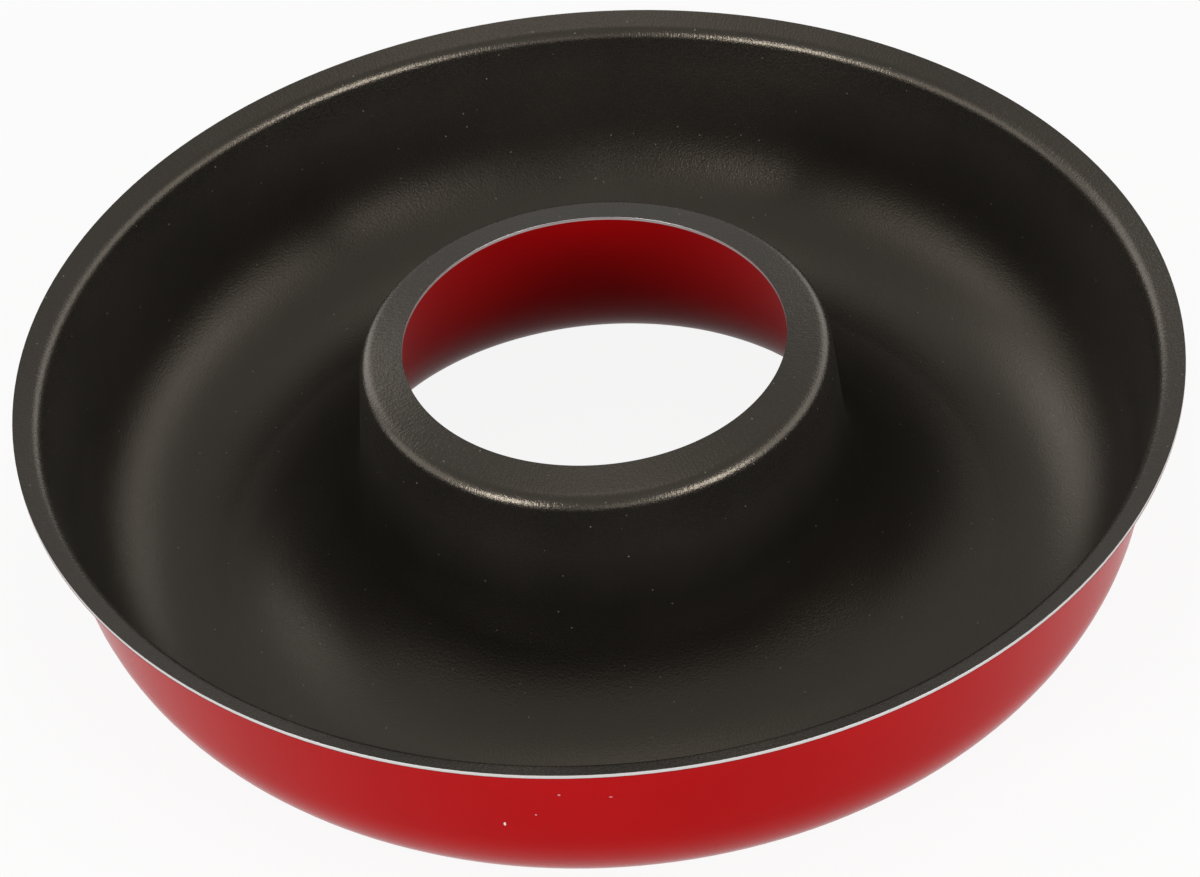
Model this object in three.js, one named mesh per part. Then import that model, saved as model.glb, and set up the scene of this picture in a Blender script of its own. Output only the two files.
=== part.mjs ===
// A savarin ring mould: one aluminium sheet pressed into a ring trough with a
// drafted tube up its middle. The pan side carries a dark non-stick lining and the
// outside a red lacquer, and the trimmed edges at the rim and at the hole stay bare.
// Millimetres, +Z up. The origin is the centre of the base ring's underside.

import * as THREE from "three";

// Overall sizes, taken to the pan side of the sheet at its two trimmed edges.
const RIM_DIAMETER = 270;
const RIM_HEIGHT = 57.4;
const HOLE_DIAMETER = 89;
const TUBE_HEIGHT = 61.2;

// Rim flange and outer wall. Angles are in degrees, and radii are on the pan side.
const FLANGE_WIDTH = 5.9;
const FLANGE_RISE = 24;
const FLANGE_BEND_RADIUS = 4;
const WALL_DRAFT = 7.7;
const WALL_FOOT_RADIUS = 31.5;

// Tube, and the lip that rises from its shoulder to the hole.
const LIP_WIDTH = 10;
const LIP_RISE = 12.5;
const SHOULDER_RADIUS = 4;
const TUBE_DRAFT = 5.9;
const TUBE_FOOT_RADIUS = 33;

// Layers of the sheet, from the pan side outwards, and the bond line under each coat.
const LINING_THICKNESS = 0.1;
const SHELL_THICKNESS = 0.9;
const LACQUER_THICKNESS = 0.1;
const BOND_LINE = 0.01;
const SHELL_DEPTH = LINING_THICKNESS + BOND_LINE;
const LACQUER_DEPTH = SHELL_DEPTH + SHELL_THICKNESS + BOND_LINE;
const SHEET_THICKNESS = LACQUER_DEPTH + LACQUER_THICKNESS;

// Shortest straight stretch that two bends leave between them.
const LEAST_STRAIGHT = 2;

// Facets: sectors round the axis, and the most degrees that one facet of a bend turns.
const SECTORS = 60;
const BEND_FACET = 22;

const radians = THREE.MathUtils.degToRad;

/** Unit vector at an angle, and the one a quarter turn to its left. */
const along = (angle) => new THREE.Vector2(Math.cos(angle), Math.sin(angle));
const leftOf = (angle) => new THREE.Vector2(-Math.sin(angle), Math.cos(angle));

/** The section's pan-side corners, unrounded, from the rim's trimmed edge in to the hole's. */
function sectionCorners() {
  const rimEdge = new THREE.Vector2(RIM_DIAMETER / 2, RIM_HEIGHT);
  const flangeDrop = FLANGE_WIDTH * Math.tan(radians(FLANGE_RISE));
  const wallTop = new THREE.Vector2(rimEdge.x - FLANGE_WIDTH, RIM_HEIGHT - flangeDrop);
  const wallLean = (wallTop.y - SHEET_THICKNESS) * Math.tan(radians(WALL_DRAFT));
  const wallFoot = new THREE.Vector2(wallTop.x - wallLean, SHEET_THICKNESS);

  const holeEdge = new THREE.Vector2(HOLE_DIAMETER / 2, TUBE_HEIGHT);
  const lipDrop = LIP_WIDTH * Math.tan(radians(LIP_RISE));
  const shoulder = new THREE.Vector2(holeEdge.x + LIP_WIDTH, TUBE_HEIGHT - lipDrop);
  const tubeLean = (shoulder.y - SHEET_THICKNESS) * Math.tan(radians(TUBE_DRAFT));
  const tubeFoot = new THREE.Vector2(shoulder.x + tubeLean, SHEET_THICKNESS);

  return [rimEdge, wallTop, wallFoot, tubeFoot, shoulder, holeEdge];
}

/** The heading into a corner, and the turn there: left is positive, right is negative. */
function turnAt(before, corner, after) {
  const heading = corner.clone().sub(before).angle();
  const leaving = after.clone().sub(corner).angle();
  const turn = THREE.MathUtils.euclideanModulo(leaving - heading + Math.PI, 2 * Math.PI) - Math.PI;
  return { heading, turn };
}

/** The four bends of the section. A radius is limited by the straight stretches beside it. */
function sectionBends(corners) {
  const radii = [FLANGE_BEND_RADIUS, WALL_FOOT_RADIUS, TUBE_FOOT_RADIUS, SHOULDER_RADIUS];
  const turns = radii.map((_, i) => turnAt(corners[i], corners[i + 1], corners[i + 2]));
  const tangents = radii.map((radius, i) => radius * Math.tan(Math.abs(turns[i].turn) / 2));

  // Each stretch lies between two corners, and the bends at its ends share its length.
  const shares = corners.slice(1).map((corner, i) => {
    const room = corner.distanceTo(corners[i]) - LEAST_STRAIGHT;
    const wanted = (tangents[i - 1] ?? 0) + (tangents[i] ?? 0);
    return Math.min(1, room / wanted);
  });

  return radii.map((wantedRadius, i) => {
    const { heading, turn } = turns[i];
    const share = Math.min(shares[i], shares[i + 1]);
    const radius = wantedRadius * share;
    const start = corners[i + 1].clone().addScaledVector(along(heading), -tangents[i] * share);
    const centre = start.addScaledVector(leftOf(heading), Math.sign(turn) * radius);
    return { centre, radius, heading, turn };
  });
}

const corners = sectionCorners();
const bends = sectionBends(corners);

/** Points round one bend, at a depth below the pan side. The metal lies to the left. */
function bendPoints({ centre, radius, heading, turn }, depth) {
  const side = Math.sign(turn);
  const facets = Math.ceil(THREE.MathUtils.radToDeg(Math.abs(turn)) / BEND_FACET);
  return Array.from({ length: facets + 1 }, (_, step) => {
    const normal = leftOf(heading + (turn * step) / facets);
    return centre.clone().addScaledVector(normal, depth - side * radius);
  });
}

/** The point at a depth below a trimmed edge, which is cut straight down through the sheet. */
function trimmedEdge(edge, slope, depth) {
  return new THREE.Vector2(edge.x, edge.y - depth / Math.cos(radians(slope)));
}

/** The section line at a depth below the pan side, from the rim in to the hole. */
function skin(depth) {
  return [
    trimmedEdge(corners[0], FLANGE_RISE, depth),
    ...bends.flatMap((bend) => bendPoints(bend, depth)),
    trimmedEdge(corners.at(-1), LIP_RISE, depth),
  ];
}

/** One layer of the sheet, turned round the axis as a closed ring. */
function layer(name, innerDepth, thickness, finish) {
  const panSide = skin(innerDepth);
  const outside = skin(innerDepth + thickness).reverse();
  const geometry = new THREE.LatheGeometry([...panSide, ...outside, panSide[0]], SECTORS);
  geometry.rotateX(Math.PI / 2);
  const mesh = new THREE.Mesh(geometry, new THREE.MeshStandardMaterial(finish));
  mesh.name = name;
  return mesh;
}

const liningFinish = { color: 0x2b2825, roughness: 0.6, metalness: 0 };
const shellFinish = { color: 0xd0d1d2, roughness: 0.35, metalness: 1 };
const lacquerFinish = { color: 0xac010d, roughness: 0.2, metalness: 0 };

const mould = new THREE.Group();
mould.add(
  layer("nonstick_lining", 0, LINING_THICKNESS, liningFinish),
  layer("pressed_shell", SHELL_DEPTH, SHELL_THICKNESS, shellFinish),
  layer("red_lacquer", LACQUER_DEPTH, LACQUER_THICKNESS, lacquerFinish),
);

export default mould;
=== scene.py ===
"""Savarin ring mould: a pressed aluminium trough with a dark lining and a red lacquered outside."""

import math
from collections import namedtuple

import bmesh
import bpy
from bpy.props import FloatProperty, FloatVectorProperty, IntProperty, PointerProperty
from mathutils import Matrix, Vector


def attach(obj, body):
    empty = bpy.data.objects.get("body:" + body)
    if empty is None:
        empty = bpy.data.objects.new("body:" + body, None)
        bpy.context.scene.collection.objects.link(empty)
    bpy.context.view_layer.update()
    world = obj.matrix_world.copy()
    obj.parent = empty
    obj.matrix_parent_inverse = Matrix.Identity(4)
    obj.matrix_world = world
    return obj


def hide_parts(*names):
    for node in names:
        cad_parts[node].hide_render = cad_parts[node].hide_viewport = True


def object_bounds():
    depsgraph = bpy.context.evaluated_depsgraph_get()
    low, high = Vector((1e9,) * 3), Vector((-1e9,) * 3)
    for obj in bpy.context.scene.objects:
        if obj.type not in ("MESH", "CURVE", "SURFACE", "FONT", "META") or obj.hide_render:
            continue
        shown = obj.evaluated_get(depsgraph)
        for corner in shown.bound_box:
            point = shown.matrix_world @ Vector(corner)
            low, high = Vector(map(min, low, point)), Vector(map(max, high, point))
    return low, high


bl_info = {
    "name": "Savarin Mould",
    "version": (1, 0, 0),
    "blender": (4, 5, 0),
    "location": "3D View > Sidebar > Mould",
    "description": "Builds a savarin ring mould in its three layers, with a stage to show it on",
    "category": "Add Mesh",
}

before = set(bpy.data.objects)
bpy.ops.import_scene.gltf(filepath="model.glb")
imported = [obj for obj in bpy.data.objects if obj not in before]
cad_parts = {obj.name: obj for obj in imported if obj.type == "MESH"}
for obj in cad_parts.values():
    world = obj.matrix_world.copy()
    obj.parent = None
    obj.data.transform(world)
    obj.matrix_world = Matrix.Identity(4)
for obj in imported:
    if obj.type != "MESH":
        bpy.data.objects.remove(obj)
CAD_LOW, CAD_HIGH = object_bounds()

MERGE_DISTANCE = 1e-6
STRAIGHT_STEPS = 6
SHARP_ANGLE = math.radians(35)
FLOOR_GAP = 0.0002
FLOOR_REACH = 12
SENSOR_WIDTH = 36
LAMP_DISTANCE = 1.2

# The radius that parts the tube's lip from the rim, and the two at which their streaks keep their spacing.
TROUGH_MIDDLE = 0.09
LIP_RADIUS = 0.052
RIM_RADIUS = 0.132

# Length of a streak, in spacings.
STREAK_LENGTH = 4

# Heights between which the lining passes from the pebbled trough to the smoother drawn rim and lip.
DRAWN_BELOW = 0.045
DRAWN_ABOVE = 0.054

# Roughness that the lining loses where it is drawn.
DRAWN_SMOOTHING = 0.07

# Share of its brightness that the bare sheet keeps in a shear mark.
SHEAR_SHADE = 0.9

# A Mix node's colour sockets, which share their names with its sockets for other kinds of value.
MIX_FIRST = 6
MIX_SECOND = 7
MIX_RESULT = 2

# A bend of the section: its start on the pan side, the way the metal lies, its centre and its turn.
Bend = namedtuple("Bend", "start metal centre turn")

# A chip in the lacquer: its centre, its reach along each axis, and how much of the primer shows in it.
Chip = namedtuple("Chip", "centre reach share")
CHIPS = (
    Chip((-0.0278, -0.1243, 0.0339), (0.00025, 0.0010, 0.0006), 0.9),
    Chip((-0.0157, -0.1280, 0.0450), (0.0003, 0.0010, 0.0003), 0.3),
    Chip((-0.0050, -0.1286, 0.0438), (0.0004, 0.0010, 0.0002), 0.3),
    Chip((-0.0210, -0.1262, 0.0378), (0.0002, 0.0010, 0.0002), 0.5),
)


class MouldSizes(bpy.types.PropertyGroup):
    """Sizes of the mould, taken to the pan side of the sheet."""

    rim_diameter: FloatProperty(
        name="Rim diameter",
        description="Across the trimmed edge of the rim",
        default=CAD_HIGH.x - CAD_LOW.x,
        unit="LENGTH",
    )
    rim_height: FloatProperty(
        name="Rim height",
        description="Height of the rim's trimmed edge above the base",
        default=0.0574,
        unit="LENGTH",
    )
    flange_width: FloatProperty(
        name="Flange width",
        description="Width of the rim flange, in from its trimmed edge to the wall",
        default=0.0059,
        unit="LENGTH",
    )
    flange_rise: FloatProperty(
        name="Flange rise",
        description="Slope of the rim flange, up towards its trimmed edge",
        default=math.radians(24),
        subtype="ANGLE",
    )
    flange_bend_radius: FloatProperty(
        name="Flange bend radius",
        description="Radius where the flange turns down into the wall",
        default=0.004,
        unit="LENGTH",
    )
    wall_draft: FloatProperty(
        name="Wall draft",
        description="Lean of the outer wall from upright",
        default=math.radians(7.7),
        subtype="ANGLE",
    )
    wall_foot_radius: FloatProperty(
        name="Wall foot radius",
        description="Radius where the outer wall turns into the base",
        default=0.0315,
        unit="LENGTH",
    )
    tube_height: FloatProperty(
        name="Tube height",
        description="Height of the hole's trimmed edge above the base",
        default=CAD_HIGH.z,
        unit="LENGTH",
    )
    hole_diameter: FloatProperty(
        name="Hole diameter",
        description="Across the trimmed edge of the hole",
        default=0.089,
        unit="LENGTH",
    )
    lip_width: FloatProperty(
        name="Lip width",
        description="Width of the lip, out from the hole to the tube's shoulder",
        default=0.010,
        unit="LENGTH",
    )
    lip_rise: FloatProperty(
        name="Lip rise",
        description="Slope of the lip, up towards the hole",
        default=math.radians(12.5),
        subtype="ANGLE",
    )
    shoulder_radius: FloatProperty(
        name="Shoulder radius",
        description="Radius where the lip turns down into the tube",
        default=0.004,
        unit="LENGTH",
    )
    tube_draft: FloatProperty(
        name="Tube draft",
        description="Lean of the tube from upright",
        default=math.radians(5.9),
        subtype="ANGLE",
    )
    tube_foot_radius: FloatProperty(
        name="Tube foot radius",
        description="Radius where the tube turns into the base",
        default=0.033,
        unit="LENGTH",
    )
    lining_thickness: FloatProperty(
        name="Lining thickness",
        description="Thickness of the non-stick lining on the pan side",
        default=0.0001,
        precision=5,
        unit="LENGTH",
    )
    shell_thickness: FloatProperty(
        name="Shell thickness",
        description="Thickness of the pressed aluminium sheet",
        default=0.0009,
        precision=5,
        unit="LENGTH",
    )
    lacquer_thickness: FloatProperty(
        name="Lacquer thickness",
        description="Thickness of the red lacquer on the outside",
        default=0.0001,
        precision=5,
        unit="LENGTH",
    )
    bond_line: FloatProperty(
        name="Bond line",
        description="Gap that stands for the bond under each coat",
        default=0.00001,
        precision=6,
        unit="LENGTH",
    )
    edge_round: FloatProperty(
        name="Edge round",
        description="Rounding of the sheet's trimmed edges",
        default=0.00015,
        precision=5,
        unit="LENGTH",
    )
    bend_step: FloatProperty(
        name="Bend step",
        description="Most that one facet of a bend turns",
        default=math.radians(5),
        subtype="ANGLE",
    )
    ring_steps: IntProperty(
        name="Ring steps",
        description="Facets round the mould's axis",
        default=192,
        min=24,
    )


class MouldFinishes(bpy.types.PropertyGroup):
    """Colours of the mould's three layers."""

    lining_black: FloatVectorProperty(
        name="Lining black",
        description="Darker tone of the non-stick lining",
        default=(0.0080, 0.0073, 0.0065),
        min=0,
        max=1,
        subtype="COLOR",
    )
    lining_brown: FloatVectorProperty(
        name="Lining brown",
        description="Lighter, warmer tone of the non-stick lining",
        default=(0.0132, 0.0117, 0.0101),
        min=0,
        max=1,
        subtype="COLOR",
    )
    lining_sheen: FloatVectorProperty(
        name="Lining sheen",
        description="Warm tint of the light that the lining's surface throws back",
        default=(1.0, 0.87, 0.70),
        min=0,
        max=1,
        subtype="COLOR",
    )
    # Pale specks in the lining, painted bright enough that they also stand in for its glints.
    lining_speck_and_glint: FloatVectorProperty(
        name="Lining speck",
        description="Tiny pale specks in the non-stick lining",
        default=(0.15, 0.14, 0.12),
        min=0,
        max=1,
        subtype="COLOR",
    )
    lacquer_red: FloatVectorProperty(
        name="Lacquer red",
        description="Colour of the lacquer",
        default=(0.33, 0.0010, 0.002),
        min=0,
        max=1,
        subtype="COLOR",
    )
    lacquer_deep: FloatVectorProperty(
        name="Lacquer deep red",
        description="Lacquer where it lies a little thicker",
        default=(0.305, 0.0008, 0.0016),
        min=0,
        max=1,
        subtype="COLOR",
    )
    lacquer_sheen: FloatVectorProperty(
        name="Lacquer sheen",
        description="Tint of the light that the lacquer throws straight back",
        default=(1.0, 0.03, 0.04),
        min=0,
        max=1,
        subtype="COLOR",
    )
    lacquer_chip: FloatVectorProperty(
        name="Lacquer chip",
        description="Pale primer that shows in a chip",
        default=(0.72, 0.62, 0.60),
        min=0,
        max=1,
        subtype="COLOR",
    )
    aluminium: FloatVectorProperty(
        name="Aluminium",
        description="Bare sheet at its trimmed edges",
        default=(0.75, 0.75, 0.74),
        min=0,
        max=1,
        subtype="COLOR",
    )


class MouldStage(bpy.types.PropertyGroup):
    """Camera, floor and light round the mould."""

    camera_distance: FloatProperty(
        name="Camera distance",
        description="From the middle of the mould's mouth",
        default=0.87814,
        unit="LENGTH",
    )
    camera_elevation: FloatProperty(
        name="Camera elevation",
        description="Angle of the camera above the rim",
        default=math.radians(39.99),
        subtype="ANGLE",
    )
    camera_tilt: FloatProperty(
        name="Camera tilt",
        description="How far the camera looks above the middle of the mouth",
        default=math.radians(-1.352),
        subtype="ANGLE",
    )
    camera_pan: FloatProperty(
        name="Camera pan",
        description="How far the camera looks to the left of the middle of the mouth",
        default=math.radians(0.046),
        subtype="ANGLE",
    )
    camera_roll: FloatProperty(
        name="Camera roll",
        description="Turn of the picture about the line of sight",
        default=math.radians(-5.094),
        subtype="ANGLE",
    )
    camera_lens: FloatProperty(
        name="Focal length",
        description="Focal length on a 36 mm wide sensor, in millimetres",
        default=114,
    )
    floor_tone: FloatVectorProperty(
        name="Floor",
        description="Colour of the plain floor",
        default=(0.90, 0.90, 0.90),
        min=0,
        max=1,
        subtype="COLOR",
    )
    floor_glow: FloatProperty(
        name="Floor glow",
        description="Share of plain white in the floor as it is seen, which keeps its shadow faint",
        default=0.90,
        min=0,
        max=1,
        subtype="FACTOR",
    )
    mirrored_glow: FloatProperty(
        name="Mirrored glow",
        description="Share of plain white in the floor as the mould mirrors it, which keeps its shadow",
        default=0.3,
        min=0,
        max=1,
        subtype="FACTOR",
    )
    room_light: FloatProperty(
        name="Room light",
        description="Strength of the even light from all round",
        default=0.40,
        min=0,
    )


def in_section(point):
    """A point of the section, its radius and height, in the plane that the section is drawn in."""
    return Vector((point.x, 0, point.y))


def shell_depth(sizes):
    """Depth of the shell below the pan side."""
    return sizes.lining_thickness + sizes.bond_line


def lacquer_depth(sizes):
    """Depth of the lacquer below the pan side."""
    return shell_depth(sizes) + sizes.shell_thickness + sizes.bond_line


def section_corners(sizes):
    """The section's pan-side corners, unrounded, from the rim's trimmed edge in to the hole's."""
    base = lacquer_depth(sizes) + sizes.lacquer_thickness
    rim_edge = Vector((sizes.rim_diameter / 2, sizes.rim_height))
    flange_drop = sizes.flange_width * math.tan(sizes.flange_rise)
    wall_top = rim_edge - Vector((sizes.flange_width, flange_drop))
    wall_lean = (wall_top.y - base) * math.tan(sizes.wall_draft)
    wall_foot = Vector((wall_top.x - wall_lean, base))
    hole_edge = Vector((sizes.hole_diameter / 2, sizes.tube_height))
    lip_drop = sizes.lip_width * math.tan(sizes.lip_rise)
    shoulder = hole_edge + Vector((sizes.lip_width, -lip_drop))
    tube_lean = (shoulder.y - base) * math.tan(sizes.tube_draft)
    tube_foot = Vector((shoulder.x + tube_lean, base))
    return [rim_edge, wall_top, wall_foot, tube_foot, shoulder, hole_edge]


def section_bends(sizes):
    """The four bends of the section, from the rim in to the hole."""
    corners = section_corners(sizes)
    radii = [
        sizes.flange_bend_radius,
        sizes.wall_foot_radius,
        sizes.tube_foot_radius,
        sizes.shoulder_radius,
    ]
    bends = []
    for before, corner, after, radius in zip(corners, corners[1:], corners[2:], radii):
        heading = (corner - before).normalized()
        leaving = (after - corner).normalized()
        turn = math.atan2(heading.cross(leaving), heading.dot(leaving))
        start = corner - heading * radius * math.tan(abs(turn) / 2)
        metal = Vector((-heading.y, heading.x))
        centre = start + metal * math.copysign(radius, turn)
        bends.append(Bend(start, metal, centre, turn))
    return bends


def trimmed_edge(edge, slope, depth):
    """The point at a depth below a trimmed edge, which is cut straight down through the sheet."""
    return edge - Vector((0, depth / math.cos(slope)))


def draw_straight(bm, tip, point):
    """Draws the section straight on from its tip to a point, and returns the new tip."""
    start = tip.co.copy()
    for step in range(1, STRAIGHT_STEPS + 1):
        drawn = bmesh.ops.extrude_vert_indiv(bm, verts=[tip])
        tip = drawn["verts"][0]
        tip.co = start.lerp(in_section(point), step / STRAIGHT_STEPS)
    return tip


def draw_bend(bm, tip, bend, facet):
    """Draws the section round a bend from its tip, and returns the new tip."""
    steps = math.ceil(abs(bend.turn) / facet)
    centre = in_section(bend.centre)
    drawn = bmesh.ops.spin(bm, geom=[tip], cent=centre, axis=(0, -1, 0), angle=bend.turn, steps=steps)
    return drawn["geom_last"][0]


def draw_section(bm, sizes, depth):
    """Draws the section at a depth below the pan side. Returns its ends at the rim and at the hole."""
    corners = section_corners(sizes)
    rim_end = bm.verts.new(in_section(trimmed_edge(corners[0], sizes.flange_rise, depth)))
    tip = rim_end
    for bend in section_bends(sizes):
        tip = draw_straight(bm, tip, bend.start + bend.metal * depth)
        tip = draw_bend(bm, tip, bend, sizes.bend_step)
    hole_end = draw_straight(bm, tip, trimmed_edge(corners[-1], sizes.lip_rise, depth))
    return rim_end, hole_end


def spin_layer(sizes, depth, thickness):
    """One layer of the sheet: its closed section, spun round the mould's axis."""
    bm = bmesh.new()
    pan_side = draw_section(bm, sizes, depth)
    outside = draw_section(bm, sizes, depth + thickness)
    for edge_ends in zip(pan_side, outside):
        bmesh.ops.contextual_create(bm, geom=edge_ends)
    bmesh.ops.spin(
        bm,
        geom=bm.verts[:] + bm.edges[:],
        cent=(0, 0, 0),
        axis=(0, 0, 1),
        angle=math.tau,
        steps=sizes.ring_steps,
        use_merge=True,
    )
    bmesh.ops.remove_doubles(bm, verts=bm.verts[:], dist=MERGE_DISTANCE)
    bmesh.ops.recalc_face_normals(bm, faces=bm.faces[:])
    return bm


def round_trimmed_edges(bm, width):
    """Takes the sharpness off the sheet's trimmed edges."""
    sharp = [edge for edge in bm.edges if edge.calc_face_angle() > SHARP_ANGLE]
    bmesh.ops.bevel(
        bm,
        geom=sharp,
        offset=width,
        affect="EDGES",
        segments=2,
        profile=0.5,
        material=-1,
        clamp_overlap=True,
    )


def add_layer(bm, name, node, finish):
    """Makes a layer's object, in place of its CAD node."""
    mesh = bpy.data.meshes.new(name)
    bm.to_mesh(mesh)
    bm.free()
    mesh.shade_smooth()
    mesh.set_sharp_from_angle(angle=SHARP_ANGLE)
    mesh.materials.append(finish)
    piece = bpy.data.objects.new(name, mesh)
    bpy.context.scene.collection.objects.link(piece)
    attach(piece, "root")
    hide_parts(node)


class FinishNodes:
    """The node tree of one finish, with short ways to add the nodes that it needs."""

    def __init__(self, name):
        self.material = bpy.data.materials.new(name)
        self.material.use_nodes = True
        self.tree = self.material.node_tree
        self.shader = self.tree.nodes["Principled BSDF"]
        self.place = self.add("ShaderNodeTexCoord").outputs["Object"]

    def add(self, kind, **settings):
        """Adds a node and sets its options."""
        node = self.tree.nodes.new(kind)
        for option, value in settings.items():
            setattr(node, option, value)
        return node

    def join(self, source, target):
        """Links an output to an input."""
        self.tree.links.new(source, target)

    def noise(self, scale, detail=2.0, roughness=0.5, place=None):
        """Noise on the mould's own coordinates, with about scale features to the metre."""
        node = self.add("ShaderNodeTexNoise")
        node.inputs["Scale"].default_value = scale
        node.inputs["Detail"].default_value = detail
        node.inputs["Roughness"].default_value = roughness
        self.join(place or self.place, node.inputs["Vector"])
        return node.outputs["Fac"]

    def remap(self, value, low, high, to_low, to_high):
        """Maps a value from one range to another."""
        node = self.add("ShaderNodeMapRange")
        ends = {"From Min": low, "From Max": high, "To Min": to_low, "To Max": to_high}
        for socket, number in ends.items():
            node.inputs[socket].default_value = number
        self.join(value, node.inputs["Value"])
        return node.outputs["Result"]

    def math(self, operation, first, second):
        """The result of an operation on two values, each a socket or a number."""
        node = self.add("ShaderNodeMath", operation=operation)
        for socket, value in zip(node.inputs, (first, second)):
            if isinstance(value, bpy.types.NodeSocket):
                self.join(value, socket)
            else:
                socket.default_value = value
        return node.outputs["Value"]

    def blend(self, share, first, second):
        """A colour between two, each a socket or a plain colour."""
        node = self.add("ShaderNodeMix", data_type="RGBA")
        self.join(share, node.inputs["Factor"])
        for socket, colour in ((node.inputs[MIX_FIRST], first), (node.inputs[MIX_SECOND], second)):
            if isinstance(colour, bpy.types.NodeSocket):
                self.join(colour, socket)
            else:
                socket.default_value = (*colour, 1)
        return node.outputs[MIX_RESULT]

    def bump(self, height, strength, distance, below=None):
        """A bump on the surface, on top of another one below it."""
        node = self.add("ShaderNodeBump")
        node.inputs["Strength"].default_value = strength
        node.inputs["Distance"].default_value = distance
        self.join(height, node.inputs["Height"])
        if below:
            self.join(below, node.inputs["Normal"])
        return node.outputs["Normal"]

    def specks(self, scale, size):
        """Round specks, one to each cell of about 1/scale metres, that reach a share of the cell."""
        node = self.add("ShaderNodeTexVoronoi")
        node.inputs["Scale"].default_value = scale
        self.join(self.place, node.inputs["Vector"])
        return self.math("LESS_THAN", node.outputs["Distance"], size)

    def axes(self):
        """The mould's own coordinates, one by one."""
        node = self.add("ShaderNodeSeparateXYZ")
        self.join(self.place, node.inputs[0])
        return node

    def radial_streaks(self, spacing):
        """Fine streaks that run out from the axis, about a spacing apart at the rim and the lip alike."""
        axes = self.axes()
        bearing = self.math("ARCTAN2", axes.outputs["Y"], axes.outputs["X"])
        flat = self.add("ShaderNodeVectorMath", operation="MULTIPLY")
        self.join(self.place, flat.inputs[0])
        flat.inputs[1].default_value = (1, 1, 0)
        reach = self.add("ShaderNodeVectorMath", operation="LENGTH")
        self.join(flat.outputs["Vector"], reach.inputs[0])
        outer = self.math("GREATER_THAN", reach.outputs["Value"], TROUGH_MIDDLE)
        radius = self.remap(outer, low=0, high=1, to_low=LIP_RADIUS, to_high=RIM_RADIUS)
        arc = self.math("DIVIDE", self.math("MULTIPLY", bearing, radius), spacing)
        along = self.math("DIVIDE", reach.outputs["Value"], STREAK_LENGTH * spacing)
        spot = self.add("ShaderNodeCombineXYZ")
        self.join(arc, spot.inputs["X"])
        self.join(along, spot.inputs["Y"])
        return self.noise(scale=1, detail=1, place=spot.outputs["Vector"])

    def dot(self, centre, reach):
        """A small mark at one place, with its own reach along each axis."""
        away = self.add("ShaderNodeVectorMath", operation="SUBTRACT")
        self.join(self.place, away.inputs[0])
        away.inputs[1].default_value = centre
        scaled = self.add("ShaderNodeVectorMath", operation="DIVIDE")
        self.join(away.outputs["Vector"], scaled.inputs[0])
        scaled.inputs[1].default_value = reach
        distance = self.add("ShaderNodeVectorMath", operation="LENGTH")
        self.join(scaled.outputs["Vector"], distance.inputs[0])
        return self.math("LESS_THAN", distance.outputs["Value"], 1)


def lining_finish(finishes):
    """Semi-matt non-stick coat: warm black, softly mottled, with a fine grain and tiny pale specks, partly
    painted glints.
    """
    coat = FinishNodes("nonstick_coat")
    mottle = coat.noise(scale=28, detail=4, roughness=0.6)
    brown = coat.remap(mottle, low=0.35, high=0.65, to_low=0, to_high=1)
    tone = coat.blend(brown, finishes.lining_black, finishes.lining_brown)
    # Pale specks, which are partly painted glints: bright dots in the colour where the coat would glint.
    pale_speck_and_glint = coat.specks(scale=225, size=0.048)
    coat.join(coat.blend(pale_speck_and_glint, tone, finishes.lining_speck_and_glint), coat.shader.inputs["Base Color"])
    coat.shader.inputs["Specular Tint"].default_value = (*finishes.lining_sheen, 1)
    coat.shader.inputs["Specular IOR Level"].default_value = 1.0
    grain = coat.noise(scale=1900, detail=2, roughness=0.6)
    pebble = coat.bump(grain, strength=0.38, distance=0.0002)
    drawn = coat.remap(coat.axes().outputs["Z"], low=DRAWN_BELOW, high=DRAWN_ABOVE, to_low=0, to_high=1)
    satin = coat.remap(grain, low=0.3, high=0.7, to_low=0.28, to_high=0.38)
    smoothing = coat.math("MULTIPLY", drawn, DRAWN_SMOOTHING)
    coat.join(coat.math("SUBTRACT", satin, smoothing), coat.shader.inputs["Roughness"])
    streaks = coat.math("MULTIPLY", coat.radial_streaks(spacing=0.0006), drawn)
    relief = coat.bump(streaks, strength=0.4, distance=0.00015, below=pebble)
    coat.join(relief, coat.shader.inputs["Normal"])
    return coat.material


def lacquer_finish(finishes):
    """Smooth glossy lacquer with a faint unevenness and a few tiny chips on the front of the wall."""
    coat = FinishNodes("red_coat")
    thick = coat.noise(scale=22, detail=2)
    deep = coat.remap(thick, low=0.4, high=0.7, to_low=0, to_high=1)
    tone = coat.blend(deep, finishes.lacquer_red, finishes.lacquer_deep)
    for chip in CHIPS:
        bare = coat.math("MULTIPLY", coat.dot(chip.centre, chip.reach), chip.share)
        tone = coat.blend(bare, tone, finishes.lacquer_chip)
    coat.join(tone, coat.shader.inputs["Base Color"])
    gloss = coat.remap(thick, low=0.3, high=0.7, to_low=0.10, to_high=0.15)
    coat.join(gloss, coat.shader.inputs["Roughness"])
    coat.shader.inputs["Specular IOR Level"].default_value = 0.08
    coat.shader.inputs["Specular Tint"].default_value = (*finishes.lacquer_sheen, 1)
    flow = coat.bump(coat.noise(scale=240, detail=1), strength=0.04, distance=0.0002)
    coat.join(flow, coat.shader.inputs["Normal"])
    return coat.material


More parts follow.
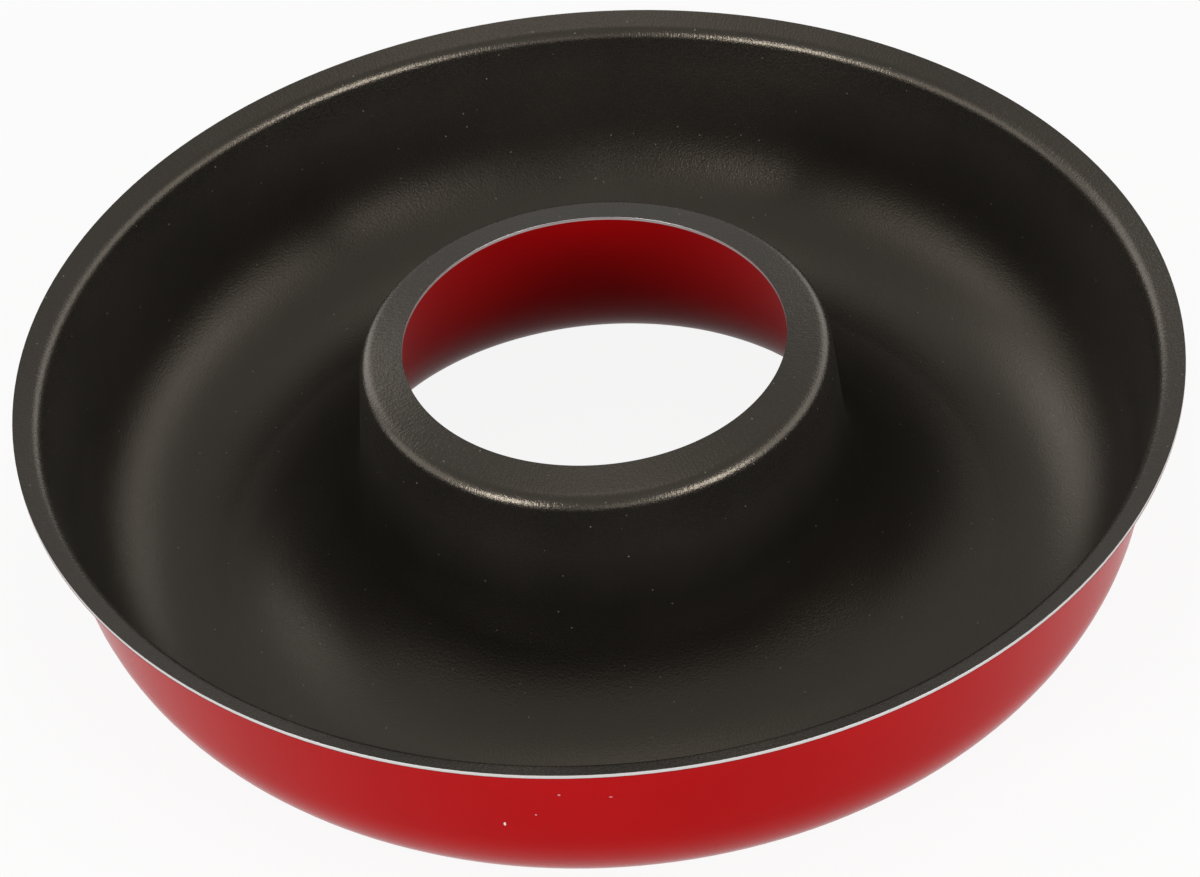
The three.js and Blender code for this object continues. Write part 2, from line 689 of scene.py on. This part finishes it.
def aluminium_finish(finishes):
    """Bare satin aluminium with fine shear marks across its trimmed edges."""
    metal = FinishNodes("bare_aluminium")
    metal.shader.inputs["Metallic"].default_value = 1
    axes = metal.axes()
    bearing = metal.math("ARCTAN2", axes.outputs["Y"], axes.outputs["X"])
    shear = metal.add("ShaderNodeTexNoise", noise_dimensions="1D")
    shear.inputs["Scale"].default_value = 500
    metal.join(bearing, shear.inputs["W"])
    marks = shear.outputs["Fac"]
    shade = tuple(SHEAR_SHADE * channel for channel in finishes.aluminium)
    metal.join(metal.blend(marks, finishes.aluminium, shade), metal.shader.inputs["Base Color"])
    satin = metal.remap(marks, low=0.3, high=0.7, to_low=0.28, to_high=0.42)
    metal.join(satin, metal.shader.inputs["Roughness"])
    metal.join(metal.bump(marks, strength=0.2, distance=0.00003), metal.shader.inputs["Normal"])
    return metal.material


def floor_finish(stage):
    """Plain pale floor, seen mostly white with a faint shadow, and mirrored with more of that shadow."""
    floor = FinishNodes("studio_floor")
    floor.shader.inputs["Base Color"].default_value = (*stage.floor_tone, 1)
    floor.shader.inputs["Roughness"].default_value = 1
    floor.shader.inputs["Specular IOR Level"].default_value = 0
    path = floor.add("ShaderNodeLightPath")
    seen = floor.math("MULTIPLY", path.outputs["Is Camera Ray"], stage.floor_glow)
    mirrored = floor.math("MAXIMUM", path.outputs["Is Glossy Ray"], path.outputs["Is Transmission Ray"])
    mirrored = floor.math("MULTIPLY", mirrored, stage.mirrored_glow)
    glow = floor.add("ShaderNodeEmission")
    mix = floor.add("ShaderNodeMixShader")
    floor.join(floor.math("MAXIMUM", seen, mirrored), mix.inputs["Fac"])
    floor.join(floor.shader.outputs["BSDF"], mix.inputs[1])
    floor.join(glow.outputs["Emission"], mix.inputs[2])
    floor.join(mix.outputs["Shader"], floor.tree.nodes["Material Output"].inputs["Surface"])
    return floor.material


def add_floor(stage):
    """Lays the floor just under the base ring."""
    bm = bmesh.new()
    bmesh.ops.create_grid(bm, x_segments=8, y_segments=8, size=FLOOR_REACH)
    bmesh.ops.translate(bm, verts=bm.verts[:], vec=(0, 0, -FLOOR_GAP))
    mesh = bpy.data.meshes.new("studio_floor")
    bm.to_mesh(mesh)
    bm.free()
    mesh.materials.append(floor_finish(stage))
    floor = bpy.data.objects.new("studio_floor", mesh)
    bpy.context.scene.collection.objects.link(floor)


def add_camera(stage, mouth_height):
    """Stands the camera at the photograph's viewing angle on the middle of the mould's mouth."""
    data = bpy.data.cameras.new("camera")
    data.lens = stage.camera_lens
    data.sensor_width = SENSOR_WIDTH
    data.sensor_fit = "HORIZONTAL"
    camera = bpy.data.objects.new("camera", data)
    bpy.context.scene.collection.objects.link(camera)
    elevation = stage.camera_elevation
    away = Vector((0, -math.cos(elevation), math.sin(elevation))) * stage.camera_distance
    look = Matrix.Rotation(math.pi / 2 - elevation + stage.camera_tilt, 4, "X")
    pan = Matrix.Rotation(stage.camera_pan, 4, "Y")
    roll = Matrix.Rotation(stage.camera_roll, 4, "Z")
    camera.matrix_world = Matrix.Translation(away + Vector((0, 0, mouth_height))) @ look @ pan @ roll
    bpy.context.scene.camera = camera


def add_softbox(name, bearing, elevation, width, height, power):
    """Hangs a soft lamp facing the mould. Bearing 0 is behind it and 90 on its right, in degrees."""
    data = bpy.data.lights.new(name, "AREA")
    data.shape = "RECTANGLE"
    data.size = width
    data.size_y = height
    data.energy = power
    lamp = bpy.data.objects.new(name, data)
    bpy.context.scene.collection.objects.link(lamp)
    turn = math.radians(bearing)
    lift = math.radians(elevation)
    away = Vector((math.sin(turn) * math.cos(lift), math.cos(turn) * math.cos(lift), math.sin(lift)))
    lamp.location = away * LAMP_DISTANCE
    lamp.rotation_euler = away.to_track_quat("Z", "Y").to_euler()
    lamp.visible_camera = False


def light_room(strength):
    """Even pale light from all round."""
    world = bpy.data.worlds.new("studio_room")
    world.use_nodes = True
    room = world.node_tree.nodes["Background"]
    room.inputs["Color"].default_value = (1, 1, 1, 1)
    room.inputs["Strength"].default_value = strength
    bpy.context.scene.world = world


class MOULD_OT_pressed_shell(bpy.types.Operator):
    """Build the pressed aluminium shell"""

    bl_idname = "mould.pressed_shell"
    bl_label = "Pressed Shell"
    bl_options = {"REGISTER", "UNDO"}

    def execute(self, context):
        sizes = context.scene.mould_sizes
        bm = spin_layer(sizes, shell_depth(sizes), sizes.shell_thickness)
        round_trimmed_edges(bm, sizes.edge_round)
        finish = aluminium_finish(context.scene.mould_finishes)
        add_layer(bm, "shell_ring", "pressed_shell", finish)
        return {"FINISHED"}


class MOULD_OT_nonstick_lining(bpy.types.Operator):
    """Build the non-stick lining on the pan side of the shell"""

    bl_idname = "mould.nonstick_lining"
    bl_label = "Non-stick Lining"
    bl_options = {"REGISTER", "UNDO"}

    def execute(self, context):
        sizes = context.scene.mould_sizes
        bm = spin_layer(sizes, 0, sizes.lining_thickness)
        finish = lining_finish(context.scene.mould_finishes)
        add_layer(bm, "lining_ring", "nonstick_lining", finish)
        return {"FINISHED"}


class MOULD_OT_red_lacquer(bpy.types.Operator):
    """Build the red lacquer on the outside of the shell"""

    bl_idname = "mould.red_lacquer"
    bl_label = "Red Lacquer"
    bl_options = {"REGISTER", "UNDO"}

    def execute(self, context):
        sizes = context.scene.mould_sizes
        bm = spin_layer(sizes, lacquer_depth(sizes), sizes.lacquer_thickness)
        finish = lacquer_finish(context.scene.mould_finishes)
        add_layer(bm, "lacquer_ring", "red_lacquer", finish)
        return {"FINISHED"}


class MOULD_OT_stage(bpy.types.Operator):
    """Set up the floor, the camera and the soft studio light"""

    bl_idname = "mould.stage"
    bl_label = "Stage"
    bl_options = {"REGISTER", "UNDO"}

    def execute(self, context):
        scene = context.scene
        stage = scene.mould_stage
        scene.view_settings.view_transform = "Standard"
        add_camera(stage, scene.mould_sizes.rim_height)
        add_floor(stage)
        light_room(stage.room_light)
        add_softbox("front_softbox", bearing=172, elevation=13, width=0.6, height=0.3, power=0.59)
        add_softbox("front_left_softbox", bearing=225, elevation=18, width=0.5, height=0.35, power=6.8)
        add_softbox("front_right_softbox", bearing=135, elevation=18, width=0.7, height=0.35, power=6.8)
        add_softbox("left_softbox", bearing=270, elevation=18, width=0.9, height=0.65, power=1.87)
        add_softbox("right_softbox", bearing=90, elevation=18, width=0.9, height=0.65, power=2.12)
        add_softbox("back_left_softbox", bearing=318, elevation=20, width=0.6, height=0.9, power=2.12)
        add_softbox("back_right_softbox", bearing=45, elevation=16, width=0.9, height=0.5, power=1.53)
        add_softbox("top_softbox", bearing=0, elevation=82, width=0.5, height=0.5, power=0.47)
        return {"FINISHED"}


class VIEW3D_PT_mould(bpy.types.Panel):
    """Lists the mould's pieces, its stage and their settings"""

    bl_idname = "VIEW3D_PT_mould"
    bl_label = "Savarin Mould"
    bl_space_type = "VIEW_3D"
    bl_region_type = "UI"
    bl_category = "Mould"

    def draw(self, context):
        layout = self.layout
        layout.operator(MOULD_OT_pressed_shell.bl_idname)
        layout.operator(MOULD_OT_nonstick_lining.bl_idname)
        layout.operator(MOULD_OT_red_lacquer.bl_idname)
        layout.operator(MOULD_OT_stage.bl_idname)
        scene = context.scene
        for settings in (scene.mould_sizes, scene.mould_finishes, scene.mould_stage):
            column = layout.column()
            for setting in settings.__annotations__:
                column.prop(settings, setting)


CLASSES = (
    MouldSizes,
    MouldFinishes,
    MouldStage,
    MOULD_OT_pressed_shell,
    MOULD_OT_nonstick_lining,
    MOULD_OT_red_lacquer,
    MOULD_OT_stage,
    VIEW3D_PT_mould,
)


def register():
    for cls in CLASSES:
        bpy.utils.register_class(cls)
    bpy.types.Scene.mould_sizes = PointerProperty(type=MouldSizes)
    bpy.types.Scene.mould_finishes = PointerProperty(type=MouldFinishes)
    bpy.types.Scene.mould_stage = PointerProperty(type=MouldStage)


def unregister():
    del bpy.types.Scene.mould_stage
    del bpy.types.Scene.mould_finishes
    del bpy.types.Scene.mould_sizes
    for cls in reversed(CLASSES):
        bpy.utils.unregister_class(cls)


def main():
    register()
    bpy.ops.mould.pressed_shell()
    bpy.ops.mould.nonstick_lining()
    bpy.ops.mould.red_lacquer()
    bpy.ops.mould.stage()


if __name__ == "__main__":
    main()
